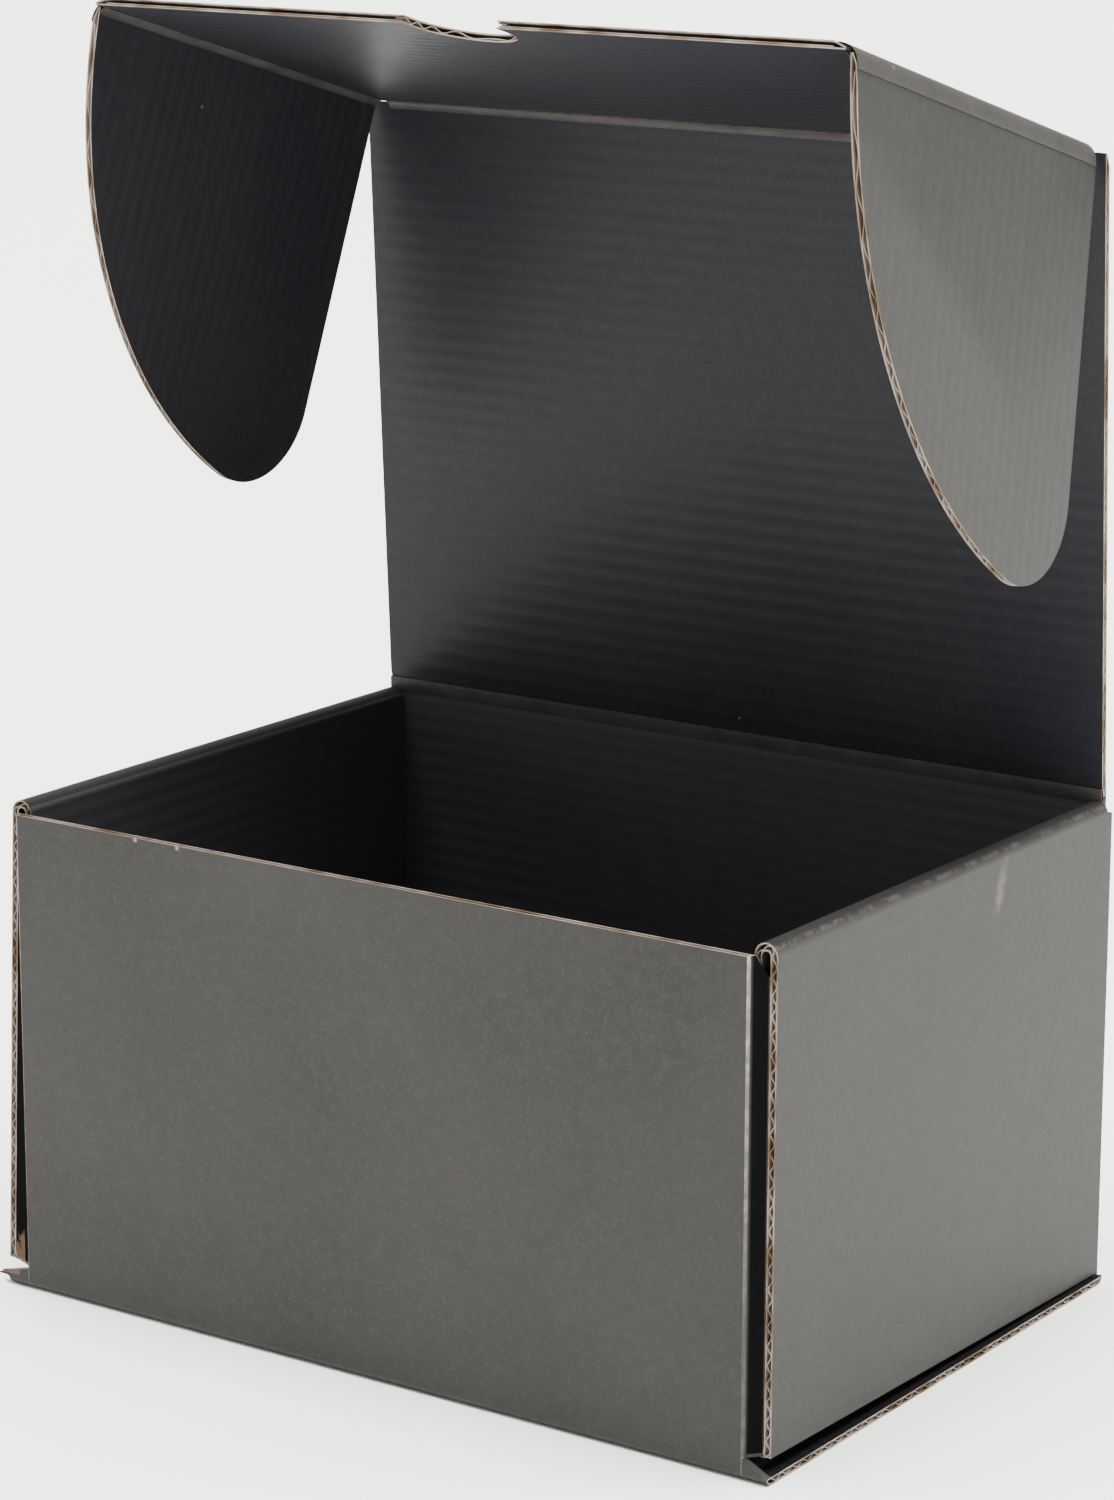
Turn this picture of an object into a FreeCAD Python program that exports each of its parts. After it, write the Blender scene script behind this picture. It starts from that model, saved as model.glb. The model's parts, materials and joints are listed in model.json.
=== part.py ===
import FreeCAD, Part
import Sketcher
import math
import os
import re

# Open mailer box folded from one die-cut sheet of thin single-wall board.
# X runs left to right, Y front to back, Z up; the origin is the middle of the floor's underside.

# Driving dimensions in millimetres and degrees
SIZES = {
    "board": 1.4,
    "tray_width": 161.0,
    "tray_depth": 115.5,
    "tray_height": 91.0,
    "front_drop": 1.8,
    "front_inset": 3.7,
    "floor_overhang": 1.1,
    "fold_radius": 1.9,
    "corner_rise": 3.9,
    "side_setback": 3.2,
    "side_lift_front": 2.4,
    "side_lift_back": 0.3,
    "flap_room": 1.6,
    "layer_gap": 0.2,
    "flange_reach": 15.0,
    "corner_flap_reach": 62.0,
    "corner_flap_drop": 4.0,
    "corner_flap_slope": 12.0,
    "lid_inset": 1.4,
    "lid_shortfall": 0.3,
    "lid_lean": 3.1,
    "lid_clearance": 0.1,
    "tuck_inset": 2.7,
    "tuck_depth": 85.2,
    "tuck_rise": 15.7,
    "notch_width": 19.0,
    "notch_depth": 13.0,
    "ear_length": 76.5,
    "ear_setback": 0.8,
    "ear_tip_radius": 15.9,
    "ear_front_radius": 88.35,
    "ear_root_depth": 83.7,
    "ear_lean": 5.0,
    "crease_length": 2.4,
    "crease_thickness": 0.5,
    "crease_gap": 0.25,
}

# Sizes that follow the tray's: each panel is a little narrower, wider or lower than the tray
FRONT_HEIGHT = "(tray_height - front_drop)"
FRONT_SIDE = "(tray_width / 2 - front_inset)"
FLOOR_SIDE = "(tray_width / 2 + floor_overhang)"
LID_SIDE = "(tray_width / 2 - lid_inset)"
LID_DEPTH = "(tray_depth - lid_shortfall)"
# Height of the crease that the lid turns on, above the floor's underside
LID_AXIS_HEIGHT = "tray_height + board / 2 + lid_clearance"
# Outer radius of the rolled rim over the two side walls, and how high the roll begins
ROLL = "(board + flap_room / 2)"
ROLL_START = "tray_height - " + ROLL
# Outer and inner face of the corner flap inside the double side wall
FLAP_OUTSIDE = "tray_width / 2 - board - (flap_room - board) / 2"
FLAP_INSIDE = FLAP_OUTSIDE + " - board"
# Underside of the inner side wall, clear of the flange that lies under it
INNER_WALL_FOOT = "2 * board + side_lift_front + layer_gap"
# Half gap left at a crease between the panel that carries and the panel that turns
HALF_GAP = "crease_gap / 2"
# Distance from the middle to the crease that an ear turns on
EAR_AXIS = "(tray_width / 2 - tuck_inset - board)"

doc = FreeCAD.newDocument("mailer_box")
sheet = doc.addObject("Spreadsheet::Sheet", "sizes")
for row, (name, size) in enumerate(SIZES.items(), start=1):
    sheet.set("A%d" % row, name)
    sheet.set("B%d" % row, str(size))
    sheet.setAlias("B%d" % row, name)
working = doc.addObject("Spreadsheet::Sheet", "working")
doc.recompute()


def bound(formula):
    """Formula over the named sizes, as an expression over the sheet's cells."""
    def cell(word):
        return "sizes." + word.group() if word.group() in SIZES else word.group()
    return re.sub(r"[a-z][a-z_]*", cell, formula)


def number(formula):
    """Value that a formula over the named sizes has now, worked out on a sheet of its own."""
    working.set("A1", "=" + bound(formula))
    working.recompute()
    return float(working.get("A1"))


def add_body(label):
    body = doc.addObject("PartDesign::Body", label)
    body.Label = label
    return body


def add_sketch(body, name, role, offset="0"):
    """Empty sketch on one of the body's own planes, moved along the plane's normal."""
    plane = next(item for item in body.Origin.OriginFeatures if item.Role == role)
    sketch = body.newObject("Sketcher::SketchObject", name)
    sketch.AttachmentSupport = [(plane, "")]
    sketch.MapMode = "FlatFace"
    sketch.setExpression("AttachmentOffset.Base.z", bound(offset))
    return sketch


def constrain(sketch, kind, *items, formula=None):
    """Constraint on a sketch, with its size bound to a formula where it has one."""
    if formula is not None:
        items = items + (number(formula),)
    index = sketch.addConstraint(Sketcher.Constraint(kind, *items))
    if formula is not None:
        sketch.setExpression("Constraints[%d]" % index, bound(formula))


def pin_point(sketch, item, end, across, up):
    """Fix one end of a line or arc at a place in the sketch."""
    for kind, axis, formula in (("DistanceX", -2, across), ("DistanceY", -1, up)):
        if formula == "0":
            constrain(sketch, "PointOnObject", item, end, axis)
        else:
            constrain(sketch, kind, -1, 1, item, end, formula=formula)


def arc_between(start, end, radius, turn):
    """Short arc from start to end; turn is 1 where it goes round to the left and -1 to the right."""
    chord = end - start
    reach = math.sqrt(max(radius ** 2 - chord.Length ** 2 / 4, 0))
    side = FreeCAD.Vector(-chord.y, chord.x, 0) / chord.Length * turn
    centre = (start + end) / 2 + side * reach
    first, last = (start, end) if turn > 0 else (end, start)
    angles = [math.atan2(point.y - centre.y, point.x - centre.x) for point in (first, last)]
    if angles[1] < angles[0]:
        angles[1] += 2 * math.pi
    circle = Part.Circle(centre, FreeCAD.Vector(0, 0, 1), radius)
    return Part.ArcOfCircle(circle, *angles)


def draw_outline(sketch, corners, bends=None):
    """Closed outline through corners; bends gives the radius and turn of the arc that leaves a corner."""
    bends = bends or {}
    points = [FreeCAD.Vector(number(across), number(up), 0) for across, up in corners]
    items = []
    for place, start in enumerate(points):
        end = points[(place + 1) % len(points)]
        if place in bends:
            radius, turn = bends[place]
            item = sketch.addGeometry(arc_between(start, end, number(radius), turn))
            constrain(sketch, "Radius", item, formula=radius)
            items.append((item, 1, 2) if turn > 0 else (item, 2, 1))
        else:
            item = sketch.addGeometry(Part.LineSegment(start, end))
            items.append((item, 1, 2))
    for place, (item, first, _) in enumerate(items):
        before, _, last = items[place - 1]
        constrain(sketch, "Coincident", before, last, item, first)
        pin_point(sketch, item, first, *corners[place])


def pad(body, sketch, name, length, symmetric=False, backwards=False):
    feature = body.newObject("PartDesign::Pad", name)
    feature.Profile = sketch
    feature.SideType = "Symmetric" if symmetric else "One side"
    feature.Reversed = backwards
    feature.setExpression("Length", bound(length))
    doc.recompute()
    return feature


def pocket(body, sketch, name, length=None, symmetric=False, backwards=False):
    """Cut along the sketch's normal, right through where no length is given."""
    before = body.Shape.Volume
    feature = body.newObject("PartDesign::Pocket", name)
    feature.Profile = sketch
    feature.SideType = "Symmetric" if symmetric else "One side"
    feature.Reversed = backwards
    if length is None:
        feature.Type = "ThroughAll"
    else:
        feature.setExpression("Length", bound(length))
    doc.recompute()
    if body.Shape.Volume >= before:
        raise ValueError(name + " cuts nothing")
    return feature


def mirror_sides(body, name, features):
    """Copy the right-hand features to the left."""
    mirrored = body.newObject("PartDesign::Mirrored", name)
    mirrored.Originals = features
    plane = next(item for item in body.Origin.OriginFeatures if item.Role == "YZ_Plane")
    mirrored.MirrorPlane = (plane, [""])
    body.Tip = mirrored
    doc.recompute()
    return mirrored


def both_sides(corners):
    """The same corners on the right, and mirrored on the left."""
    return corners, [("-(" + across + ")", up) for across, up in corners]


def build_tray():
    """Floor, front, back, double side walls with rolled rims, and the flaps folded between them."""
    tray = add_body("tray")

    # Front, floor and back as one strip bent up at both ends, thin at the lid's crease
    wrap = add_sketch(tray, "wrap_section", "YZ_Plane")
    tip = LID_AXIS_HEIGHT + " - crease_thickness / 2 - crease_gap"
    inner_fold = "(fold_radius - board)"
    back_middle = "tray_depth - board / 2"
    draw_outline(wrap, [
        ("0", FRONT_HEIGHT),
        ("0", "fold_radius"),
        ("fold_radius", "0"),
        ("tray_depth - fold_radius", "0"),
        ("tray_depth", "fold_radius"),
        ("tray_depth", tip + " - crease_length"),
        (back_middle + " + crease_thickness / 2", tip),
        (back_middle + " - crease_thickness / 2", tip),
        ("tray_depth - board", tip + " - crease_length"),
        ("tray_depth - board", "fold_radius"),
        ("tray_depth - fold_radius", "board"),
        ("fold_radius", "board"),
        ("board", "fold_radius"),
        ("board", FRONT_HEIGHT),
    ], {
        1: ("fold_radius", 1),
        3: ("fold_radius", 1),
        9: (inner_fold, -1),
        11: (inner_fold, -1),
    })
    pad(tray, wrap, "wrap", "2 * " + FLOOR_SIDE, symmetric=True)

    # The front ends at its corner creases and widens to the floor's free edges at its foot
    trims = add_sketch(tray, "front_trims", "XZ_Plane")
    beyond = FLOOR_SIDE + " + board"
    for corners in both_sides([
        (FRONT_SIDE, "corner_rise"),
        (FLOOR_SIDE, "board"),
        (beyond, "board"),
        (beyond, FRONT_HEIGHT + " + board"),
        (FRONT_SIDE, FRONT_HEIGHT + " + board"),
    ]):
        draw_outline(trims, corners)
    pocket(tray, trims, "front_corners", "fold_radius")

    # The back is as wide as the tray, and the lid's crease a little narrower
    trims = add_sketch(tray, "back_trims", "XZ_Plane", "-tray_depth")
    for corners in both_sides([
        ("tray_width / 2", "board"),
        (beyond, "board"),
        (beyond, "tray_height + 2 * board"),
        (LID_SIDE, "tray_height + 2 * board"),
        (LID_SIDE, ROLL_START),
        ("tray_width / 2", ROLL_START),
    ]):
        draw_outline(trims, corners)
    pocket(tray, trims, "back_corners", "fold_radius", backwards=True)

    # Corner flap: turned back at the front's end, out to its room between the side walls
    turn = add_sketch(tray, "corner_flap_turn", "XY_Plane", "corner_rise")
    draw_outline(turn, [
        (FRONT_SIDE + " - board", "board / 2"),
        (FRONT_SIDE, "board / 2"),
        (FLAP_OUTSIDE, "side_setback"),
        (FLAP_OUTSIDE, "side_setback + board"),
        (FLAP_INSIDE, "side_setback + board"),
        (FRONT_SIDE + " - board", "board"),
    ])
    turned = pad(tray, turn, "flap_turn", FRONT_HEIGHT + " - corner_rise")
    leaf_top = FRONT_HEIGHT + " - corner_flap_drop"
    slope = add_sketch(tray, "flap_shoulder_cut", "YZ_Plane", FRONT_SIDE + " - board")
    draw_outline(slope, [
        ("board", FRONT_HEIGHT),
        ("side_setback + 2 * board", FRONT_HEIGHT),
        ("side_setback + 2 * board", leaf_top),
        ("side_setback", leaf_top),
    ])
    shoulder = pocket(tray, slope, "flap_shoulder", "4 * board", backwards=True)

    leaf = add_sketch(tray, "corner_flap_leaf", "YZ_Plane", FLAP_INSIDE)
    leaf_foot = INNER_WALL_FOOT
    draw_outline(leaf, [
        ("side_setback", leaf_foot),
        ("corner_flap_reach", leaf_foot + " + corner_flap_slope"),
        ("corner_flap_reach", leaf_top + " - corner_flap_slope"),
        ("side_setback", leaf_top),
    ])
    leaves = pad(tray, leaf, "flap_leaf", "board")

    # Outer side wall, hinged on the back; its foot rises towards the front
    outer = add_sketch(tray, "outer_wall_face", "YZ_Plane", "tray_width / 2 - board")
    draw_outline(outer, [
        ("side_setback", "board + side_lift_front"),
        ("tray_depth", "board + side_lift_back"),
        ("tray_depth", ROLL_START),
        ("side_setback", ROLL_START),
    ])
    outer_wall = pad(tray, outer, "outer_wall", "board")

    # Rolled rim and the inner side wall that hangs from it
    roll = add_sketch(tray, "rim_section", "XZ_Plane", "-side_setback")
    outside = "tray_width / 2"
    middle = "tray_width / 2 - " + ROLL
    inside = "tray_width / 2 - 2 * " + ROLL
    inner_roll = "flap_room / 2"
    draw_outline(roll, [
        (outside, ROLL_START),
        (middle, "tray_height"),
        (inside, ROLL_START),
        (inside, INNER_WALL_FOOT),
        (inside + " + board", INNER_WALL_FOOT),
        (inside + " + board", ROLL_START),
        (middle, "tray_height - board"),
        (outside + " - board", ROLL_START),
    ], {
        0: (ROLL, 1),
        1: (ROLL, 1),
        5: (inner_roll, -1),
        6: (inner_roll, -1),
    })
    rim = pad(tray, roll, "rim", "tray_depth - board - layer_gap - side_setback", backwards=True)

    # Flange turned in under the inner wall, lying on the floor
    foot = add_sketch(tray, "flange_face", "YZ_Plane", "tray_width / 2 - board / 2")
    flange_back = "tray_depth - board - layer_gap"
    back_share = "(" + flange_back + " - side_setback) / (tray_depth - side_setback)"
    back_lift = "(board + side_lift_front + (side_lift_back - side_lift_front) * " + back_share + ")"
    draw_outline(foot, [
        ("side_setback", "board + side_lift_front"),
        (flange_back, back_lift),
        (flange_back, back_lift + " + board"),
        ("side_setback", "2 * board + side_lift_front"),
    ])
    flange = pad(tray, foot, "flange", "flange_reach", backwards=True)

    mirror_sides(tray, "left_side", [turned, shoulder, leaves, outer_wall, rim, flange])

    tray.setExpression("Placement", bound(
        "placement(vector(0; -tray_depth / 2; 0); rotation(vector(0; 0; 1); 0))"))
    return tray


def build_lid():
    """Lid panel, flat, its lower crease on the origin's X axis and its inside towards +Z."""
    lid = add_body("lid_panel")
    section = add_sketch(lid, "lid_section", "YZ_Plane")
    nose = "crease_thickness / 2"
    end = LID_DEPTH + " - " + HALF_GAP
    draw_outline(section, [
        ("0", nose),
        ("-crease_thickness / 2", "0"),
        ("0", "-crease_thickness / 2"),
        ("crease_length", "-board / 2"),
        (end + " - crease_length", "-board / 2"),
        (end, "board / 2 - crease_thickness"),
        (end, "board / 2"),
        ("crease_length", "board / 2"),
    ], {
        0: (nose, 1),
        1: (nose, 1),
    })
    pad(lid, section, "lid_board", "2 * " + LID_SIDE, symmetric=True)
    lid.setExpression("Placement", "tray.Placement * " + bound(
        "placement(vector(0; tray_depth - board / 2; " + LID_AXIS_HEIGHT + ");"
        " rotation(vector(1; 0; 0); 90 + lid_lean))"))
    return lid


def build_tuck_flap():
    """Tuck flap with its thumb notch, flat, its crease on the origin's X axis and its inside at Z 0."""
    tuck = add_body("tuck_flap")
    section = add_sketch(tuck, "tuck_section", "YZ_Plane")
    draw_outline(section, [
        (HALF_GAP, "0"),
        (HALF_GAP, "-crease_thickness"),
        (HALF_GAP + " + crease_length", "-board"),
        ("tuck_depth", "-board"),
        ("tuck_depth", "0"),
    ])
    pad(tuck, section, "tuck_board", "2 * (" + EAR_AXIS + " - " + HALF_GAP + ")", symmetric=True)

    # Board pressed thin towards the creases of both ears
    presses = add_sketch(tuck, "side_crease_cuts", "XZ_Plane", "board")
    edge = EAR_AXIS + " - " + HALF_GAP
    for corners in both_sides([
        (edge, "-crease_thickness"),
        (edge + " - crease_length", "-board"),
        (edge + " - crease_length", "-2 * board"),
        (edge + " + board", "-2 * board"),
        (edge + " + board", "-crease_thickness"),
    ]):
        draw_outline(presses, corners)
    pocket(tuck, presses, "side_creases", "tuck_depth + 2 * board")

    notch = add_sketch(tuck, "notch_outline", "XY_Plane", "board")
    turn = "notch_width / 2"
    shoulder = "tuck_depth - notch_depth + notch_width / 2"
    draw_outline(notch, [
        ("-notch_width / 2", "tuck_depth + board"),
        ("-notch_width / 2", shoulder),
        ("0", "tuck_depth - notch_depth"),
        ("notch_width / 2", shoulder),
        ("notch_width / 2", "tuck_depth + board"),
    ], {
        1: (turn, 1),
        2: (turn, 1),
    })
    pocket(tuck, notch, "thumb_notch")
    tuck.setExpression("Placement", "lid_panel.Placement * " + bound(
        "placement(vector(0; " + LID_DEPTH + "; board / 2);"
        " rotation(vector(1; 0; 0); 90 - tuck_rise - lid_lean))"))
    return tuck


def draw_ear(sketch, side):
    """Ear outline: straight rear edge, round tip and one long front curve back to the crease."""
    sign = "" if side > 0 else "-"
    across = sign + "(" + HALF_GAP + ")"
    tip_across = sign + "(ear_length - ear_tip_radius)"
    root = FreeCAD.Vector(number(across), number("ear_setback"), 0)
    crown = FreeCAD.Vector(number(tip_across), number("ear_setback"), 0)
    far = FreeCAD.Vector(number(across), number("ear_root_depth"), 0)
    tip_centre = crown + FreeCAD.Vector(0, number("ear_tip_radius"), 0)

    # The front curve's centre lies where both the tip's arc and the crease's far end are in reach
    span = far - tip_centre
    near = number("ear_front_radius - ear_tip_radius")
    along = (span.Length ** 2 + near ** 2 - number("ear_front_radius") ** 2) / (2 * span.Length)
    off = math.sqrt(near ** 2 - along ** 2)
    square = FreeCAD.Vector(span.y, -span.x, 0) / span.Length * side
    front_centre = tip_centre + span / span.Length * along - square * off
    joint = tip_centre + (tip_centre - front_centre).normalize() * number("ear_tip_radius")

    rear = sketch.addGeometry(Part.LineSegment(root, crown))
    tip = sketch.addGeometry(arc_between(crown, joint, number("ear_tip_radius"), side))
    front = sketch.addGeometry(arc_between(joint, far, number("ear_front_radius"), side))
    crease = sketch.addGeometry(Part.LineSegment(far, root))
    first, last = (1, 2) if side > 0 else (2, 1)
    constrain(sketch, "Coincident", rear, 2, tip, first)
    constrain(sketch, "Tangent", tip, last, front, first)
    constrain(sketch, "Coincident", front, last, crease, 1)
    constrain(sketch, "Coincident", crease, 2, rear, 1)
    pin_point(sketch, rear, 1, across, "ear_setback")
    pin_point(sketch, rear, 2, tip_across, "ear_setback")
    pin_point(sketch, crease, 1, across, "ear_root_depth")
    constrain(sketch, "DistanceX", -1, 1, tip, 3, formula=tip_across)
    constrain(sketch, "Radius", tip, formula="ear_tip_radius")
    constrain(sketch, "Radius", front, formula="ear_front_radius")


def build_ear(label, side):
    """Ear, flat, its crease on the origin's Y axis and its inside at Z 0; side is 1 right and -1 left."""
    ear = add_body(label)
    outline = add_sketch(ear, label + "_outline", "XY_Plane")
    draw_ear(outline, side)
    pad(ear, outline, label + "_board", "board", backwards=True)
    sign = "" if side > 0 else "-"
    press = add_sketch(ear, label + "_crease_cut", "XZ_Plane", "board")
    draw_outline(press, [
        (sign + "(" + HALF_GAP + ")", "-crease_thickness"),
        (sign + "(" + HALF_GAP + " + crease_length)", "-board"),
        (sign + "(" + HALF_GAP + " + crease_length)", "-2 * board"),
        (sign + "(" + HALF_GAP + " - board)", "-2 * board"),
        (sign + "(" + HALF_GAP + " - board)", "-crease_thickness"),
    ])
    pocket(ear, press, label + "_crease", "ear_root_depth + 2 * board")
    ear.setExpression("Placement", "tuck_flap.Placement * " + bound(
        "placement(vector(" + sign + "(" + EAR_AXIS + "); 0; 0);"
        " rotation(vector(0; 1; 0); " + sign + "(ear_lean - 90)))"))
    return ear


def check_and_write(bodies):
    """Refuse a failed feature or a broken solid, then write one file for each sub-part."""
    doc.recompute()
    for item in doc.Objects:
        if "Invalid" in item.State or "Error" in item.State:
            raise ValueError(item.Name + " failed")
    os.makedirs("parts", exist_ok=True)
    for body in bodies:
        shape = body.Shape
        if shape.isNull() or not shape.isValid() or len(shape.Solids) != 1:
            raise ValueError(body.Label + " is not one valid solid")
        box = shape.BoundBox
        print(body.Label, round(shape.Volume, 1), [round(edge, 2) for edge in (
            box.XMin, box.YMin, box.ZMin, box.XMax, box.YMax, box.ZMax)])
        shape.exportStep("parts/" + body.Label + ".step")


check_and_write([
    build_tray(),
    build_lid(),
    build_tuck_flap(),
    build_ear("right_ear", 1),
    build_ear("left_ear", -1),
])
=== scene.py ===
import json
import math

import bpy
from mathutils import Matrix, Vector

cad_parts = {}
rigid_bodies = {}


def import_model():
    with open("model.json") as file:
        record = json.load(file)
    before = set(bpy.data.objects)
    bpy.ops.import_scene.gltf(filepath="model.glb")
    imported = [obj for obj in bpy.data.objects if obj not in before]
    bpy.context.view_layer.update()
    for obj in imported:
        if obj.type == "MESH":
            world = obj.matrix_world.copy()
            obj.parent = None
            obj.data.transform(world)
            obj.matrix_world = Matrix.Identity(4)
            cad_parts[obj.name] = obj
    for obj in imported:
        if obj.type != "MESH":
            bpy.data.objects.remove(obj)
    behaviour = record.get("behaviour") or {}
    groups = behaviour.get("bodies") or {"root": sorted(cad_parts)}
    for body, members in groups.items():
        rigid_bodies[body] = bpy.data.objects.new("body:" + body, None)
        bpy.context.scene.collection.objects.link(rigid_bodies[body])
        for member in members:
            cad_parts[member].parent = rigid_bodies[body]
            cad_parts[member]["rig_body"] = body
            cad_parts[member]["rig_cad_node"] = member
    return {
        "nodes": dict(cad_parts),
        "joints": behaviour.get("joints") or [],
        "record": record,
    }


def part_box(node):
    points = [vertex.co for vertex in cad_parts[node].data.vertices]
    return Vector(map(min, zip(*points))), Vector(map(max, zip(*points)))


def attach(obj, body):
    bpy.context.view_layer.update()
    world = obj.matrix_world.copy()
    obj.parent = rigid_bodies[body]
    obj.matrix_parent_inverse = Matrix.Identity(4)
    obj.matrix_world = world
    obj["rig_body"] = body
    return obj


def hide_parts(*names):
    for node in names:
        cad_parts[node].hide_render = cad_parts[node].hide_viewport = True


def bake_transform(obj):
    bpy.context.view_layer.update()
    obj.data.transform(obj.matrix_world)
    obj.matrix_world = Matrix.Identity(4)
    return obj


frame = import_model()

bl_info = {
    "name": "Open mailer box",
    "version": (1, 0, 0),
    "blender": (4, 5, 0),
    "location": "View3D > Sidebar > Mailer box",
    "description": "Adds an open mailer box of black corrugated board on a pale floor",
    "category": "Add Mesh",
}

MM = 0.001
BODY_OF = {
    node: body
    for body, nodes in frame["record"]["behaviour"]["bodies"].items()
    for node in nodes
}
HINGE = {joint["name"]: joint for joint in frame["joints"]}
TRAY_LOW, TRAY_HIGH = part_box("tray")
LID_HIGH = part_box("lid_panel")[1]

# Directions of the panels in the row frame, at rest
X_AXIS, Y_AXIS, Z_AXIS = Vector((1, 0, 0)), Vector((0, 1, 0)), Vector((0, 0, 1))
LID_LEAN = math.radians(3.1)
EAR_SPLAY = math.radians(5)
LID_AXIS = Vector(HINGE["lid_hinge"]["pos_m"])
FLAP_AXIS = Vector(HINGE["flap_hinge"]["pos_m"])
FLAP_ALONG = Vector(HINGE["right_ear_hinge"]["axis"]).normalized()
FLAP_INSIDE = Vector((0, -FLAP_ALONG.z, FLAP_ALONG.y)).normalized()
LID_ALONG = Vector((0, -math.sin(LID_LEAN), math.cos(LID_LEAN)))
LID_INSIDE = Vector((0, -LID_ALONG.z, LID_ALONG.y))

# Heights and reaches that several pieces share
FLOOR_ZONE = 6 * MM
KICK_TOP = TRAY_HIGH[2] - 2.5 * MM
KICK_HEIGHT = 85 * MM
LID_CUT = (2.6 * MM, 112.6 * MM)
FLAP_CUT_SIDE = 74 * MM
EAR_CREASE = (1 * MM, 83.6 * MM)

# Places of the materials on a board
MAIN_PRINT, CUT_LINER, BETWEEN_LINERS, SECOND_PRINT, THIRD_PRINT = range(5)

# Stage: each light's name, place, width in metres and power in watts, then the camera's place,
# its yaw, pitch and roll in degrees, and its lens in millimetres
AIM = Vector((0, 0, 0.1))
LIGHTS = (
    ("key light", (1.7, 1.3, 0.9), 1.0, 29),
    ("front light", (-0.9, -2.2, 0.35), 1.2, 4),
    ("left light", (-1.8, -0.35, 0.6), 0.8, 7),
)
CAMERA_PLACE = (0.4393, -0.6332, 0.2900)
CAMERA_TURN = (34.76, -13.82, 0.13)
CAMERA_LENS = 107.26


def colour(code):
    """Linear colour from an sRGB hex code."""
    parts = [int(code[place:place + 2], 16) / 255 for place in (0, 2, 4)]
    return tuple(
        part / 12.92 if part <= 0.04045 else ((part + 0.055) / 1.055) ** 2.4
        for part in parts
    )


def length(name, text, value):
    """Setting for a size."""
    return bpy.props.FloatProperty(
        name=name, description=text, default=value, min=0, precision=5, unit="LENGTH", subtype="DISTANCE"
    )


def share(name, text, value):
    """Setting for a strength between 0 and 1."""
    return bpy.props.FloatProperty(
        name=name, description=text, default=value, min=0, max=1, subtype="FACTOR"
    )


def tint(name, text, code):
    """Setting for a colour."""
    return bpy.props.FloatVectorProperty(
        name=name, description=text, default=colour(code), min=0, max=1, size=3, subtype="COLOR"
    )


class MailerBoxSettings(bpy.types.PropertyGroup):
    """Sizes and colours of the board and of the stage"""

    board: length("Board", "Thickness of the board", 1.4 * MM)
    liner: length("Liner", "Thickness of each flat liner", 0.24 * MM)
    medium: length("Medium", "Thickness of the wavy paper between the liners", 0.17 * MM)
    flute: length("Flute", "Distance from one flute to the next", 3.29 * MM)
    recess: length("Recess", "How far one sees in between the liners", 1.8 * MM)
    washboard: length("Washboard", "Height of the flutes' print on the inner faces", 0.05 * MM)
    side_setback: length("Side setback", "How far the side walls start behind the front", 3.2 * MM)
    wall_side: length("Wall side", "Distance of the outer walls' faces from the middle", 80.5 * MM)
    roll: length("Roll", "Outer radius of the rolled rims", 2.2 * MM)
    corner_inset: length("Corner inset", "Distance of the front's creases from the sides", 4.82 * MM)
    notch_width: length("Notch width", "Width of the thumb notch", 19 * MM)
    notch_depth: length("Notch depth", "Depth of the thumb notch", 13 * MM)
    bead: length("Bead", "Half width of the raised line along a crease's inside", 1.3 * MM)
    nicks: bpy.props.FloatVectorProperty(
        name="Nicks", description="Places of the nicks along the front's top edge",
        default=(-49.4 * MM, -40.0 * MM), size=2, unit="LENGTH", subtype="XYZ_LENGTH"
    )
    kick: length("Kick", "How far the left wall's front foot has sprung outwards", 3.6 * MM)
    tear: length("Tear", "Height that the torn paper at the left wall's foot stays under", 17 * MM)
    cracking: share("Cracking", "Strength of the cracked print on the front's creases", 0.5)
    rim_wear: share("Rim wear", "Strength of the wear on the rolled rims", 0.22)
    rub: share("Rub", "Strength of the rub high on the right wall", 0.3)
    nicking: share("Nicking", "Strength of the nicks in the front's top edge", 0.3)
    tearing: share("Tearing", "Strength of the torn paper", 0.7)
    # Strength of the painted shade in the slots between the folded layers and on the floor's lip
    slot_shade: share("Slot shade", "Darkness in the slots between the folded layers", 0.9)
    # Strength of the painted shade on top of the rolled rims
    crown_shade: share("Crown shade", "Darkness on top of the rolled rims", 0.45)
    crease_wear: share("Crease wear", "Wear of the print on the inside of the creases", 0.12)
    fold_wear: share("Fold wear", "Wear of the print on the outside of the folds", 0.06)
    gloss: share("Gloss", "Mirror strength of the print", 0.1)
    floor_size: length("Floor size", "Width of the floor that the box stands on", 9.0)
    face: tint("Face", "Black print on the board's outside", "272625")
    # Inside print colour, cooled with a painted bluish shade tint
    inner_face: tint("Inner face", "Black print on the board's inside", "1D1E24")
    # Colour inside the tray, paler than the outside print and cooled with a painted bluish shade tint
    deep_face: tint("Deep face", "Dusty black print inside the tray", "38383F")
    worn: tint("Worn", "Print rubbed thin", "454341")
    cut_edge: tint("Cut edge", "Paper in a cut edge", "9A8E85")
    fluting: tint("Fluting", "Brown paper of the medium", "62503F")
    bare: tint("Bare", "Paper that shows where the print has cracked", "C9C2BA")
    # Colour of the painted shade in the slots, on the rims' crowns, on the floor's lip and deep between the
    # liners
    shade: tint("Shade", "Print in the slots between the folded layers", "060607")
    worn_line: tint("Worn line", "Print rubbed along a fold", "8E8680")
    ground: tint("Ground", "Floor and backdrop", "F4F4F2")


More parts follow.
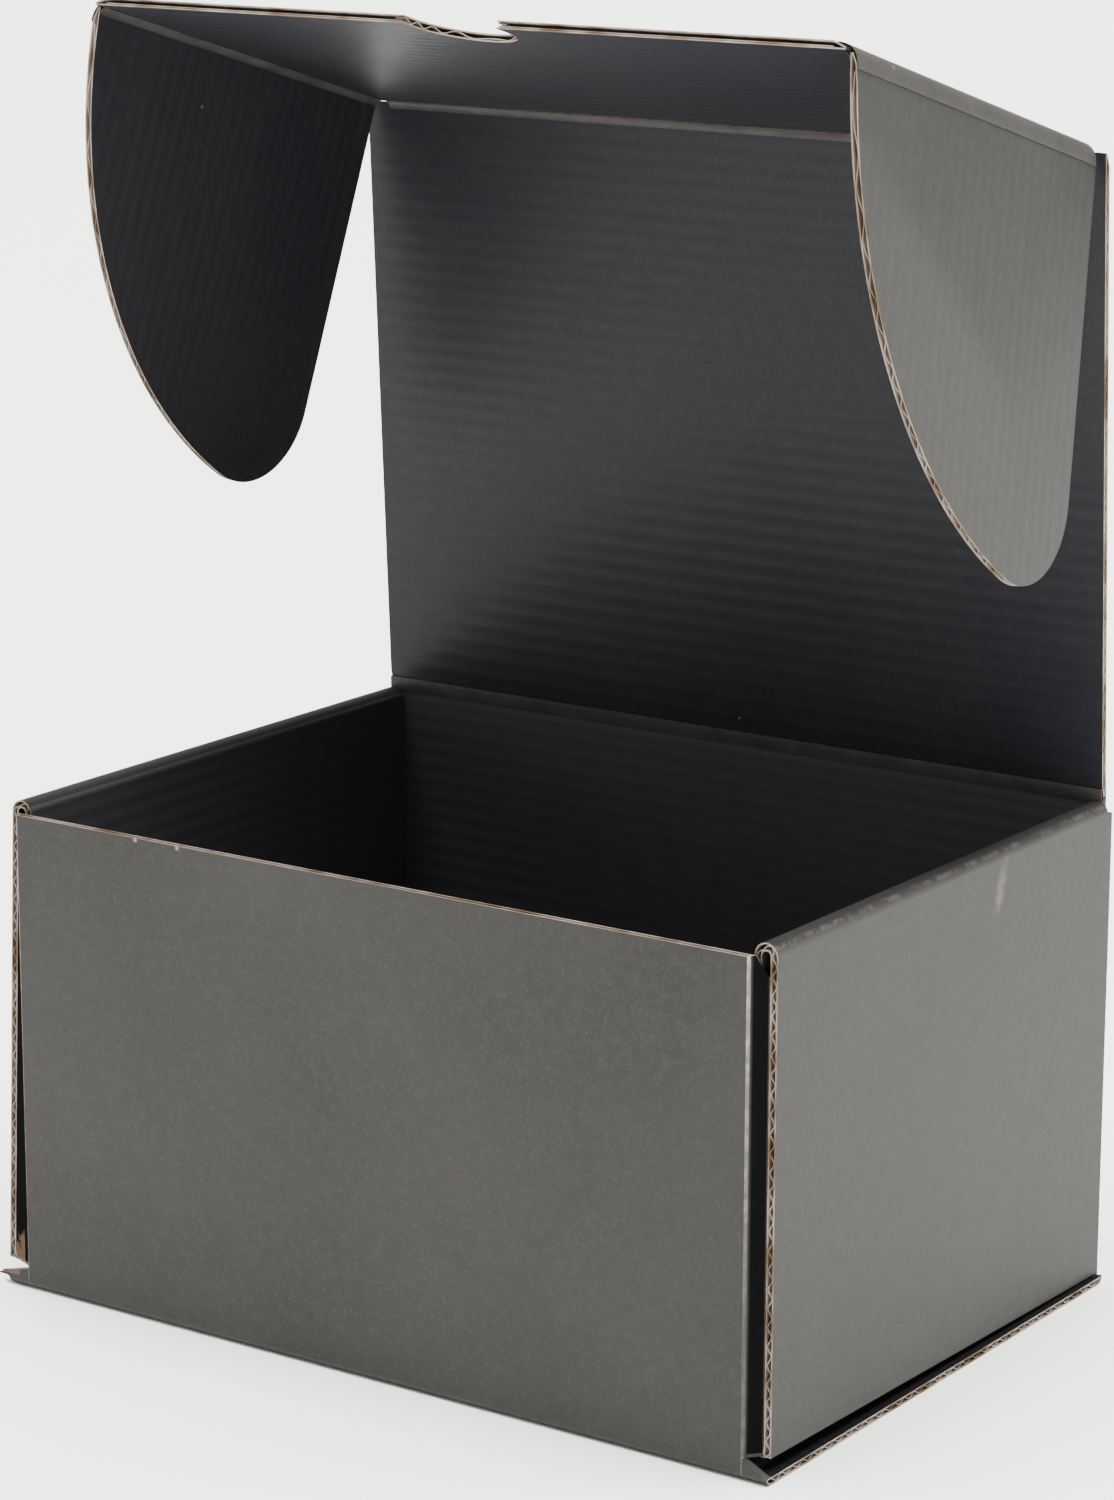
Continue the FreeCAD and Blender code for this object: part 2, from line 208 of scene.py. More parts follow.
class Nodes:
    """Small helper that adds shader nodes to one material."""

    def __init__(self, name):
        self.material = bpy.data.materials.new(name)
        self.material.use_nodes = True
        self.tree = self.material.node_tree
        self.shader = self.tree.nodes["Principled BSDF"]
        self.place = self.add("ShaderNodeTexCoord").outputs["Object"]

    def add(self, kind, inputs=None, **settings):
        """New node; an input is either another node's output or a constant."""
        node = self.tree.nodes.new(kind)
        for key, value in settings.items():
            setattr(node, key, value)
        for key, value in (inputs or {}).items():
            if isinstance(value, bpy.types.NodeSocket):
                self.tree.links.new(value, node.inputs[key])
            else:
                node.inputs[key].default_value = value
        return node

    def math(self, operation, first, second=0.0):
        return self.add("ShaderNodeMath", {0: first, 1: second}, operation=operation).outputs[0]

    def product(self, first, *others):
        """Product of masks and strengths, each from 0 to 1."""
        for other in others:
            first = self.math("MULTIPLY", first, other)
        return first

    def noise(self, scale, detail=2.0, rough=0.5, distortion=0.0):
        """Noise from 0 to 1; scale is in waves per metre."""
        return self.add("ShaderNodeTexNoise", {
            "Vector": self.place, "Scale": scale, "Detail": detail,
            "Roughness": rough, "Distortion": distortion,
        }).outputs["Fac"]

    def ramp(self, value, low, high):
        """0 below low, 1 above high, smooth between."""
        return self.add("ShaderNodeMapRange", {
            "Value": value, "From Min": low, "From Max": high,
        }, interpolation_type="SMOOTHSTEP").outputs["Result"]

    def mix(self, amount, first, second):
        """Colour from first to second, by amount."""
        inputs = {"Factor": amount, "A": self.rgba(first), "B": self.rgba(second)}
        node = self.add("ShaderNodeMix", data_type="RGBA")
        for key, value in inputs.items():
            place = {"Factor": 0, "A": 6, "B": 7}[key]
            if isinstance(value, bpy.types.NodeSocket):
                self.tree.links.new(value, node.inputs[place])
            else:
                node.inputs[place].default_value = value
        return node.outputs[2]

    @staticmethod
    def rgba(value):
        """A colour with its alpha, or a node's output as it is."""
        return value if isinstance(value, bpy.types.NodeSocket) else (*value, 1.0)

    def along(self, direction):
        """Distance along a direction in the row frame, in metres."""
        inputs = {0: self.place, 1: tuple(direction)}
        return self.add("ShaderNodeVectorMath", inputs, operation="DOT_PRODUCT").outputs["Value"]

    def near(self, value, target, half, soft):
        """1 where value is within half of target, falling to 0 over soft."""
        away = self.math("ABSOLUTE", self.math("SUBTRACT", value, target))
        return self.math("SUBTRACT", 1.0, self.ramp(away, half, half + soft))

    def set(self, **sockets):
        """Link or set the shader's own sockets."""
        for key, value in sockets.items():
            socket = self.shader.inputs[key.replace("_", " ")]
            if isinstance(value, bpy.types.NodeSocket):
                self.tree.links.new(value, socket)
            else:
                socket.default_value = value


def cracked_corners(nodes, settings, tone):
    """Cracked print along the front's two upright creases, strongest near the top."""
    line = nodes.near(nodes.away, TRAY_HIGH[0] - settings.corner_inset, 0.02 * MM, 0.15 * MM)
    front = nodes.math("LESS_THAN", nodes.y, TRAY_LOW[1] + 1.2 * MM)
    upwards = nodes.math("ADD", 0.35, nodes.ramp(nodes.z, 20 * MM, 90 * MM))
    patchy = nodes.math("ADD", 0.45, nodes.math("MULTIPLY", nodes.broken, 0.4))
    return nodes.mix(nodes.product(line, front, upwards, patchy, settings.cracking), tone, settings.bare)


def shaded_slots(nodes, settings, tone):
    """Painted shade, dark and without gloss, where the corner flaps step in behind the side walls."""
    crease = TRAY_HIGH[0] - settings.corner_inset
    slot = nodes.ramp(nodes.away, crease + 0.07 * MM, crease + 0.52 * MM)
    front = nodes.math("LESS_THAN", nodes.y, TRAY_LOW[1] + settings.side_setback - 0.1 * MM)
    slot = nodes.product(slot, front, nodes.math("GREATER_THAN", nodes.z, 4.5 * MM))
    # Painted shade: the gloss is taken away inside the slots
    nodes.set(Specular_IOR_Level=nodes.product(nodes.math("SUBTRACT", 1.0, slot), settings.gloss))
    return nodes.mix(nodes.product(slot, settings.slot_shade), tone, settings.shade)


def worn_rims(nodes, settings, tone):
    """Patchy wear along the outside of the rolled rims."""
    line = nodes.near(nodes.away, TRAY_HIGH[0] - 1.75 * MM, 0.1 * MM, 0.35 * MM)
    high = nodes.math("GREATER_THAN", nodes.z, TRAY_HIGH[2] - 2.2 * MM)
    return nodes.mix(nodes.product(line, high, nodes.broken, settings.rim_wear), tone, settings.worn_line)


def soft_rub(nodes, settings, tone):
    """One soft slanting rub high on the right wall."""
    slant = nodes.math("SUBTRACT", nodes.y, nodes.math("MULTIPLY", nodes.z, 0.28))
    line = nodes.near(slant, -5.9 * MM, 0, 2.4 * MM)
    high = nodes.near(nodes.z, 84 * MM, 1 * MM, 6 * MM)
    patchy = nodes.ramp(nodes.noise(260, 3, 0.6), 0.3, 0.7)
    right = nodes.math("GREATER_THAN", nodes.x, settings.wall_side - 5.5 * MM)
    return nodes.mix(nodes.product(line, high, patchy, right, settings.rub), tone, settings.worn_line)


def edge_nicks(nodes, settings, tone):
    """Small nicks in the front's top edge."""
    high = nodes.math("GREATER_THAN", nodes.z, TRAY_HIGH[2] - 2.8 * MM)
    front = nodes.math("LESS_THAN", nodes.y, TRAY_LOW[1] + 1 * MM)
    for nick in settings.nicks:
        spot = nodes.near(nodes.x, nick, 0.1 * MM, 0.5 * MM)
        tone = nodes.mix(nodes.product(spot, high, front, settings.nicking), tone, settings.bare)
    return tone


def shaded_crowns(nodes, settings, tone):
    """Painted shade on top of the rolled rims, darkening them against the light from overhead."""
    crown = nodes.ramp(nodes.z, TRAY_HIGH[2] - 2 * MM, TRAY_HIGH[2] - 0.8 * MM)
    rims = nodes.math("GREATER_THAN", nodes.away, TRAY_HIGH[0] - 6 * MM)
    return nodes.mix(nodes.product(crown, rims, settings.crown_shade), tone, settings.shade)


def torn_foot(nodes, settings, tone):
    """Torn brown paper at the front foot of the left wall, lower towards the back."""
    behind = nodes.math("SUBTRACT", nodes.y, TRAY_LOW[1] + settings.side_setback)
    height = nodes.math("MULTIPLY", nodes.noise(300, 4, 0.7), settings.tear)
    height = nodes.math("SUBTRACT", height, nodes.z)
    height = nodes.math("SUBTRACT", height, nodes.math("MULTIPLY", behind, 1.7))
    left = nodes.math("LESS_THAN", nodes.x, TRAY_LOW[0] + 2.6 * MM)
    off_floor = nodes.math("GREATER_THAN", nodes.z, 2.2 * MM)
    torn = nodes.product(nodes.ramp(height, 0, 2.5 * MM), left, off_floor, settings.tearing)
    return nodes.mix(torn, tone, settings.fluting)


def wall_wear_and_painted_shade(nodes, settings, tone):
    """Wear and painted shade on the tray's walls, one kind over the other."""
    nodes.x, nodes.y, nodes.z = (nodes.along(axis) for axis in (X_AXIS, Y_AXIS, Z_AXIS))
    nodes.away = nodes.math("ABSOLUTE", nodes.x)
    nodes.broken = nodes.ramp(nodes.noise(420, 3, 0.7), 0.42, 0.62)
    kinds = (cracked_corners, shaded_slots, worn_rims, soft_rub, edge_nicks, shaded_crowns, torn_foot)
    for kind in kinds:
        tone = kind(nodes, settings, tone)
    return tone


def floor_lip(nodes, settings, tone):
    """Shade on the floor's lip, under the side walls."""
    away = nodes.math("ABSOLUTE", nodes.along(X_AXIS))
    lip = nodes.ramp(away, TRAY_HIGH[0] - 5 * MM, TRAY_HIGH[0] - 3 * MM)
    return nodes.mix(nodes.product(lip, settings.slot_shade), tone, settings.shade)


def rubbed_fold(nodes, settings, tone, strength):
    """Print rubbed thin along a fold."""
    rubbed = nodes.ramp(nodes.noise(160, 3, 0.6), 0.1, 0.9)
    return nodes.mix(nodes.product(rubbed, strength), tone, settings.worn_line)


def printed_board(name, settings, across, base, ribs, rubbing, wear=None):
    """Black printed liner: soft mottling, the flutes' print across the face, dust and rubbed spots.
    ribs is how much of the flutes' print shows, rubbing how strong the mottling is."""
    nodes = Nodes(name)
    nodes.set(Specular_IOR_Level=settings.gloss)
    cloud = nodes.noise(22, 3)
    grain = nodes.noise(1500, 3, 0.6)
    blotch = nodes.ramp(nodes.noise(420, 3, 0.65), 0.4, 0.7)
    specks = nodes.ramp(nodes.noise(330, 1), 0.82, 0.84)
    tone = nodes.mix(nodes.math("MULTIPLY", cloud, 0.5 * rubbing), base, settings.worn)
    fibres = nodes.ramp(grain, 0.5, 0.75)
    tone = nodes.mix(nodes.math("MULTIPLY", fibres, 0.35 * rubbing), tone, settings.worn)
    tone = nodes.mix(nodes.math("MULTIPLY", blotch, 0.12 * rubbing), tone, settings.worn)
    tone = nodes.mix(nodes.math("MULTIPLY", specks, 0.2), tone, settings.bare)
    wave = nodes.math("SINE", nodes.math("MULTIPLY", nodes.along(across), 2 * math.pi / settings.flute))
    height = nodes.math("MULTIPLY", wave, settings.washboard * ribs)
    height = nodes.math("ADD", height, nodes.math("MULTIPLY", grain, 0.012 * MM))
    height = nodes.math("ADD", height, nodes.math("MULTIPLY", nodes.noise(60, 2), 0.12 * MM))
    if wear:
        tone = wear(nodes, settings, tone)
    nodes.set(Base_Color=tone)
    nodes.set(Roughness=nodes.math("ADD", 0.34, nodes.math("MULTIPLY", cloud, 0.14)))
    bump = nodes.add("ShaderNodeBump", {"Height": height, "Distance": 1.0, "Strength": 1.0})
    nodes.set(Normal=bump.outputs["Normal"])
    return nodes.material


def outer_print(name, settings, across, wear=None):
    """Print on the board's outside, which hides the flutes almost wholly."""
    return printed_board(name, settings, across, settings.face, 0.1, 1.0, wear)


def inner_print(name, settings, across):
    """Print on the board's inside, cleaner and with the flutes showing through, in a colour with a painted
    cool shade tint.
    """
    return printed_board(name, settings, across, settings.inner_face, 0.5, 0.5)


def deep_print(name, settings, across):
    """Print on the floor and inside the tray's walls, paler than the outside print, in a colour with a
    painted cool shade tint, and with painted shade on the floor's lip.
    """
    return printed_board(name, settings, across, settings.deep_face, 0.5, 1.0, floor_lip)


def crease_print(name, settings, across):
    """Print pressed and rubbed on the inside of a crease."""
    def wear(nodes, settings, tone):
        return rubbed_fold(nodes, settings, tone, settings.crease_wear)
    return printed_board(name, settings, across, settings.face, 0.1, 1.0, wear)


def fold_print(name, settings, across):
    """Print rubbed on the outside of a fold."""
    def wear(nodes, settings, tone):
        return rubbed_fold(nodes, settings, tone, settings.fold_wear)
    return printed_board(name, settings, across, settings.face, 0.1, 1.0, wear)


def raw_paper(name, settings, light, dark):
    """Bare paper in a cut edge: two tones given by the caller and short fibres."""
    nodes = Nodes(name)
    fibre = nodes.noise(900, 4, 0.7, 0.6)
    patch = nodes.noise(130, 2)
    tone = nodes.mix(nodes.ramp(patch, 0.35, 0.7), light, dark)
    tone = nodes.mix(nodes.math("MULTIPLY", fibre, 0.3), tone, settings.fluting)
    nodes.set(Base_Color=tone)
    nodes.set(Roughness=0.85)
    nodes.set(Specular_IOR_Level=0.2)
    bump = nodes.add("ShaderNodeBump", {"Height": fibre, "Distance": 0.06 * MM, "Strength": 1.0})
    nodes.set(Normal=bump.outputs["Normal"])
    return nodes.material


def plain_ground(name, settings):
    """Smooth pale studio ground with the faintest mottling."""
    nodes = Nodes(name)
    cloud = nodes.math("MULTIPLY", nodes.noise(3), 0.04)
    nodes.set(Base_Color=nodes.mix(cloud, settings.ground, settings.bare))
    nodes.set(Roughness=0.9)
    nodes.set(Specular_IOR_Level=0.1)
    return nodes.material


def shared_material(name, make, *values, **options):
    """The material of that name, made once."""
    return bpy.data.materials.get(name) or make(name, *values, **options)


def only(obj):
    """Select one object and make it the active one."""
    bpy.ops.object.select_all(action="DESELECT")
    obj.select_set(True)
    bpy.context.view_layer.objects.active = obj


def copy_of_node(node, name):
    """Copy of a frame node with its corners joined up and its flat faces in one piece."""
    source = frame["nodes"][node]
    only(source)
    bpy.ops.object.duplicate()
    piece = bpy.context.object
    piece.name = name
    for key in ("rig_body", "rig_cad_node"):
        if key in piece:
            del piece[key]
    piece.parent = None
    piece.matrix_world = Matrix.Identity(4)
    piece.data.materials.clear()
    bpy.ops.object.mode_set(mode="EDIT")
    bpy.ops.mesh.select_all(action="SELECT")
    bpy.ops.mesh.remove_doubles(threshold=0.000002)
    bpy.ops.mesh.dissolve_limited(angle_limit=math.radians(0.3))
    bpy.ops.object.mode_set(mode="OBJECT")
    bpy.ops.mesh.customdata_custom_splitnormals_clear()
    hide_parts(node)
    return piece


def kicked_out(point, settings):
    """Place of a point on the left outer wall, whose front foot has sprung outwards."""
    wall_inside = settings.wall_side - settings.board - 0.1 * MM
    on_floor = abs(point.x) > TRAY_HIGH[0] - 0.5 * MM or point.z < settings.board + 0.2 * MM
    if point.x > -wall_inside or on_floor:
        return point
    wall_depth = TRAY_HIGH[1] - TRAY_LOW[1] - settings.side_setback
    down = min(max((KICK_TOP - point.z) / KICK_HEIGHT, 0), 1)
    ahead = min(max((TRAY_HIGH[1] - point.y) / wall_depth, 0), 1)
    return point - X_AXIS * settings.kick * down * ahead


def choose_faces(piece, test):
    """Select, in edit mode, the faces whose centre and normal pass the test."""
    only(piece)
    bpy.ops.object.mode_set(mode="EDIT")
    bpy.ops.mesh.select_mode(type="FACE")
    bpy.ops.mesh.select_all(action="DESELECT")
    bpy.ops.object.mode_set(mode="OBJECT")
    count = 0
    for face in piece.data.polygons:
        face.select = bool(test(face.center, face.normal))
        count += face.select
    if not count:
        raise RuntimeError("no face of " + piece.name + " passes the test")
    bpy.ops.object.mode_set(mode="EDIT")


def give_slot(piece, place):
    """Give the selected faces one of the piece's materials, in edit mode."""
    piece.active_material_index = place
    bpy.ops.object.material_slot_assign()


def paint_faces(piece, place, test):
    """Give the faces that pass the test one of the piece's materials."""
    choose_faces(piece, test)
    give_slot(piece, place)
    bpy.ops.object.mode_set(mode="OBJECT")


def open_edges(piece, settings, test):
    """Hollow out the cut edges between the two liners."""
    choose_faces(piece, test)
    give_slot(piece, CUT_LINER)
    bpy.ops.mesh.inset(thickness=settings.liner, depth=0, use_boundary=True, use_even_offset=True)
    bpy.ops.mesh.extrude_region_shrink_fatten(
        MESH_OT_extrude_region={"use_normal_flip": False},
        TRANSFORM_OT_shrink_fatten={"value": -settings.recess, "use_even_offset": False},
    )
    give_slot(piece, BETWEEN_LINERS)
    bpy.ops.object.mode_set(mode="OBJECT")


def smooth(piece, degrees=35):
    """Round shading across edges flatter than the angle."""
    only(piece)
    bpy.ops.object.shade_smooth_by_angle(angle=math.radians(degrees))


def edge_papers(settings):
    """Materials for the liner's cut edge and for the paper deep between the liners; the deep one takes the
    print and painted shade colours, as painted shade in the flutes' hollows.
    """
    rim = shared_material("cut liner", raw_paper, settings, settings.cut_edge, settings.fluting)
    deep = shared_material("paper between the liners", raw_paper, settings, settings.face, settings.shade)
    return rim, deep


def surface(name, count, points):
    """Strip of quads, two points wide, through pairs of points; made from one flat grid."""
    bpy.ops.object.select_all(action="DESELECT")
    rows = len(points) // count
    bpy.ops.mesh.primitive_grid_add(x_subdivisions=count - 1, y_subdivisions=rows - 1, size=1)
    piece = bpy.context.object
    piece.name = name
    for vertex, point in zip(piece.data.vertices, points):
        vertex.co = point
    piece.location = (0, 0, 0)
    return piece


def thicken(piece, thickness):
    """Give a strip its paper's thickness, half to each side."""
    only(piece)
    modifier = piece.modifiers.new("thickness", "SOLIDIFY")
    modifier.thickness = thickness
    modifier.offset = 0
    bpy.ops.object.modifier_apply(modifier="thickness")


def wave_ribbon(name, settings, path, body):
    """Wavy medium that shows in a cut edge. Each step of the path is a point at the middle of the cut,
    the board's normal, the way into the board and the distance across the flutes."""
    swing = (settings.board - 2 * settings.liner - settings.medium) / 2
    front, back = [], []
    for point, normal, inward, travel in path:
        lift = swing * math.sin(2 * math.pi * travel / settings.flute)
        front.append(point + normal * lift + inward * 0.08 * MM)
        back.append(point + normal * lift + inward * settings.recess)
    piece = surface(name, len(path), front + back)
    thicken(piece, settings.medium)
    piece.data.materials.append(edge_papers(settings)[0])
    smooth(piece, 60)
    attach(piece, body)
    return piece


def walk(corners, step):
    """Points at even steps along straight lines through corners, with the distance from the start."""
    found = []
    travelled = 0.0
    for first, last in zip(corners, corners[1:]):
        gap = (last - first).length
        count = max(1, round(gap / step))
        for place in range(count):
            found.append((first.lerp(last, place / count), travelled + gap * place / count))
        travelled += gap
    found.append((corners[-1], travelled))
    return found


def round_walk(centre, start, end, radius, steps):
    """Corners on an arc in the plane of two angles, in degrees."""
    return [
        (
            centre[0] + radius * math.cos(math.radians(start + (end - start) * place / steps)),
            centre[1] + radius * math.sin(math.radians(start + (end - start) * place / steps)),
        )
        for place in range(steps + 1)
    ]


class MAILERBOX_OT_add_tray(bpy.types.Operator):
    """Add the tray: floor, front, back and double side walls of black board"""

    bl_idname = "mailerbox.add_tray"
    bl_label = "Add tray"

    def execute(self, context):
        settings = context.scene.mailer_box
        tray = copy_of_node("tray", "tray_board")
        rim, deep = edge_papers(settings)
        # The walls' print carries real wear and also painted shade in the slots and on the rims' crowns
        upright = shared_material("black print on the walls", outer_print, settings, Z_AXIS, wall_wear_and_painted_shade)
        # Both materials below carry the painted cool shade tint and painted shade on the floor's lip
        level = shared_material("black print on the floor", deep_print, settings, Y_AXIS)
        hidden = shared_material("black print inside the walls", deep_print, settings, Z_AXIS)
        for material in (upright, rim, deep, level, hidden):
            tray.data.materials.append(material)

        wall_front = TRAY_LOW[1] + settings.side_setback
        front_inside = TRAY_HIGH[1] - 1.15 * MM
        mouth = settings.wall_side - 4.3 * MM
        between_walls = settings.wall_side - 0.9 * MM

        def is_level(centre, normal):
            return abs(normal.z) > 0.9 and centre.z < FLOOR_ZONE

        def is_inside(centre, normal):
            upright_face = abs(normal.z) < 0.5 and centre.z > FLOOR_ZONE and abs(centre.y) < front_inside
            behind = centre.y > wall_front + 0.2 * MM
            return upright_face and (abs(centre.x) < mouth or behind and abs(centre.x) < between_walls)

        def is_floor_side(centre, normal):
            return abs(normal.x) > 0.99 and abs(centre.x) > TRAY_HIGH[0] - 0.1 * MM

        def is_wall_end(centre, normal):
            level_with_end = abs(centre.y - wall_front) < 0.1 * MM
            return normal.y < -0.99 and level_with_end and abs(centre.x) > mouth - 6.2 * MM

        def is_front_top(centre, normal):
            at_top = centre.z > TRAY_HIGH[2] - 3.3 * MM
            return normal.z > 0.99 and at_top and centre.y < TRAY_LOW[1] + 2 * MM

        paint_faces(tray, SECOND_PRINT, is_level)
        paint_faces(tray, THIRD_PRINT, is_inside)
        for test in (is_floor_side, is_wall_end, is_front_top):
            open_edges(tray, settings, test)
        for vertex in tray.data.vertices:
            vertex.co = kicked_out(vertex.co.copy(), settings)
        smooth(tray)
        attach(tray, BODY_OF["tray"])
        return {"FINISHED"}


class MAILERBOX_OT_add_lid(bpy.types.Operator):
    """Add the lid panel"""

    bl_idname = "mailerbox.add_lid"
    bl_label = "Add lid panel"

    def execute(self, context):
        settings = context.scene.mailer_box
        lid = copy_of_node("lid_panel", "lid_board")
        rim, deep = edge_papers(settings)
        face = shared_material("black print on the lid", inner_print, settings, LID_ALONG)
        outer = shared_material("black print outside the lid", outer_print, settings, LID_ALONG)
        for material in (face, rim, deep, outer):
            lid.data.materials.append(material)
        paint_faces(lid, SECOND_PRINT, lambda centre, normal: normal.dot(LID_INSIDE) < -0.5)
        open_edges(lid, settings, lambda centre, normal: abs(normal.x) > 0.99)
        smooth(lid)
        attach(lid, BODY_OF["lid_panel"])
        return {"FINISHED"}


class MAILERBOX_OT_add_tuck_flap(bpy.types.Operator):
    """Add the tuck flap with its thumb notch"""

    bl_idname = "mailerbox.add_tuck_flap"
    bl_label = "Add tuck flap"

    def execute(self, context):
        settings = context.scene.mailer_box
        flap = copy_of_node("tuck_flap", "tuck_flap_board")
        rim, deep = edge_papers(settings)
        face = shared_material("black print on the tuck flap", inner_print, settings, FLAP_ALONG)
        outer = shared_material("black print outside the tuck flap", outer_print, settings, FLAP_ALONG)
        for material in (face, rim, deep, outer):
            flap.data.materials.append(material)
        paint_faces(flap, SECOND_PRINT, lambda centre, normal: normal.dot(FLAP_INSIDE) < -0.5)

        def is_cut(centre, normal):
            far = (centre - FLAP_AXIS).dot(FLAP_ALONG)
            between_ears = abs(centre.x) < FLAP_CUT_SIDE + 1 * MM
            return abs(normal.dot(FLAP_INSIDE)) < 0.05 and far > 60 * MM and between_ears

        open_edges(flap, settings, is_cut)
        smooth(flap)
        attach(flap, BODY_OF["tuck_flap"])
        return {"FINISHED"}


def ear_frame(side):
    """Origin, direction away from the crease, along the crease, and inside normal of an ear."""
    origin = Vector(HINGE["right_ear_hinge" if side > 0 else "left_ear_hinge"]["pos_m"])
    turn = Matrix.Rotation(-side * (math.pi / 2 - EAR_SPLAY), 3, FLAP_ALONG)
    outward = turn @ Vector((side, 0, 0))
    return origin, outward, FLAP_ALONG, turn @ FLAP_INSIDE


class MAILERBOX_OT_add_ears(bpy.types.Operator):
    """Add the two ears that hang from the tuck flap"""

    bl_idname = "mailerbox.add_ears"
    bl_label = "Add ears"

    def execute(self, context):
        settings = context.scene.mailer_box
        rim, deep = edge_papers(settings)
        for node, side in (("right_ear", 1), ("left_ear", -1)):
            origin, outward, along, inside = ear_frame(side)
            ear = copy_of_node(node, node + "_board")
            words = node.replace("_", " ")
            outer = shared_material("black print outside the " + words, outer_print, settings, along)
            inner = shared_material("black print inside the " + words, inner_print, settings, along)
            for material in (outer, rim, deep, inner):
                ear.data.materials.append(material)
            paint_faces(ear, SECOND_PRINT, lambda centre, normal: normal.dot(inside) > 0.5)

            def is_cut(centre, normal):
                far = (centre - origin).dot(outward)
                return abs(normal.dot(inside)) < 0.05 and far > 1 * MM

            open_edges(ear, settings, is_cut)
            smooth(ear)
            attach(ear, BODY_OF[node])
        return {"FINISHED"}


def outline_path(corners, step, normal, inner_point, across):
    """Steps of a ribbon along a flat outline, each with its way into the board."""
    points = walk(corners, step)
    path = []
    for place, (point, _) in enumerate(points):
        before = points[max(place - 1, 0)][0]
        after = points[min(place + 1, len(points) - 1)][0]
        inward = normal.cross(after - before).normalized()
        if inward.dot(inner_point - point) < 0:
            inward.negate()
        path.append((point, normal, inward, (point - inner_point).dot(across)))
    return path


class MAILERBOX_OT_add_flutes(bpy.types.Operator):
    """Add the wavy medium that shows in the cut edges"""

    bl_idname = "mailerbox.add_flutes"
    bl_label = "Add flutes"

    def execute(self, context):
        settings = context.scene.mailer_box
        step = settings.flute / 12
        middle = settings.board / 2
        # The floor's cut edge curls up where the front and the back fold away from it
        bend, straight, curl = 0.9 * MM, 2 * MM, 1.15 * MM
        foot = [
            Vector((0, TRAY_LOW[1] + bend, curl)),
            Vector((0, TRAY_LOW[1] + straight, middle)),
            Vector((0, TRAY_HIGH[1] - straight, middle)),
            Vector((0, TRAY_HIGH[1] - bend, curl)),
        ]
        # The side walls' front end runs up the outer wall, round the rolled rim and down the inner wall
        wall_side, roll = settings.wall_side, settings.roll
        outer_foot, inner_foot = 4.1 * MM, 5.7 * MM
        roll_centre = (wall_side - roll, TRAY_HIGH[2] - 0.3 * MM - roll)
        arch = [(wall_side - middle, outer_foot)]
        arch += round_walk(roll_centre, 0, 180, roll - middle, 12)
        arch += [(wall_side - 2 * roll + middle, inner_foot)]
        for side, word in ((1, "right"), (-1, "left")):
            out = X_AXIS * side
            edge = out * TRAY_HIGH[0]
            path = [(point + edge, Z_AXIS, -out, travel) for point, travel in walk(foot, step)]
            wave_ribbon("floor_flutes_" + word, settings, path, BODY_OF["tray"])
            corners = [
                Vector((side * across, TRAY_LOW[1] + settings.side_setback, up)) for across, up in arch
            ]
            points = walk(corners, step)
            path = []
            for place, (point, travel) in enumerate(points):
                before = points[max(place - 1, 0)][0]
                after = points[min(place + 1, len(points) - 1)][0]
                normal = Y_AXIS.cross(after - before).normalized()
                path.append((kicked_out(point, settings), normal, Y_AXIS, travel))
            wave_ribbon("wall_flutes_" + word, settings, path, BODY_OF["tray"])
            ends = [LID_AXIS + out * LID_HIGH[0] + LID_ALONG * end for end in LID_CUT]
            path = [(point, LID_INSIDE, -out, travel) for point, travel in walk(ends, step)]
            wave_ribbon("lid_flutes_" + word, settings, path, BODY_OF["lid_panel"])
            self.add_ear_flutes(settings, word + "_ear", side, step)
        self.add_notch_flutes(settings, step)
        return {"FINISHED"}

    def add_ear_flutes(self, settings, node, side, step):
        """Medium along the ear's tip and front curve, read from the frame's own outline."""
        origin, outward, along, inside = ear_frame(side)
        found = {}
        for vertex in frame["nodes"][node].data.vertices:
            place = vertex.co - origin
            far, up = place.dot(outward), place.dot(along)
            if abs(place.dot(inside)) < 0.05 * MM and far > 0.5 * MM:
                found[(round(far, 6), round(up, 6))] = True
        centre = (
            sum(far for far, _ in found) / len(found),
            sum(up for _, up in found) / len(found),
        )
        rear = min(up for _, up in found)
        curve = [spot for spot in found if spot[1] > rear + 0.05 * MM]
        curve.sort(key=lambda spot: math.atan2(spot[1] - centre[1], spot[0] - centre[0]))
        lift = inside * (-settings.board / 2)
        corners = [origin + outward * far + along * up + lift for far, up in curve]
        middle = origin + outward * centre[0] + along * centre[1] + lift
        path = outline_path(corners, step, inside, middle, along)
        wave_ribbon(node + "_flutes", settings, path, BODY_OF[node])

    def add_notch_flutes(self, settings, step):
        """Medium round the thumb notch, and its flat side along the flap's free edge."""
        half = settings.notch_width / 2
        free = max(
            (vertex.co - FLAP_AXIS).dot(FLAP_ALONG) for vertex in frame["nodes"]["tuck_flap"].data.vertices)
        bottom = free - settings.notch_depth + half
        spots = [(-half, free - 0.2 * MM)]
        spots += round_walk((0, bottom), 180, 360, half, 24)
        spots += [(half, free - 0.2 * MM)]
        lift = FLAP_INSIDE * (-settings.board / 2)
        corners = [FLAP_AXIS + Vector((across, 0, 0)) + FLAP_ALONG * far + lift for across, far in spots]
        hole = FLAP_AXIS + FLAP_ALONG * free + lift
        path = [
            (point, normal, -inward, travel)
            for point, normal, inward, travel in outline_path(corners, step, FLAP_INSIDE, hole, FLAP_ALONG)
        ]
        wave_ribbon("notch_flutes", settings, path, BODY_OF["tuck_flap"])
        off_middle = 0.4 * MM
        for side, word in ((1, "right"), (-1, "left")):
            start = hole + X_AXIS * side * (half + 0.3 * MM)
            end = hole + X_AXIS * side * FLAP_CUT_SIDE
            path = [
                (point, FLAP_INSIDE, -FLAP_ALONG, off_middle) for point, _ in walk([start, end], 4 * MM)
            ]
            wave_ribbon("flap_edge_medium_" + word, settings, path, BODY_OF["tuck_flap"])


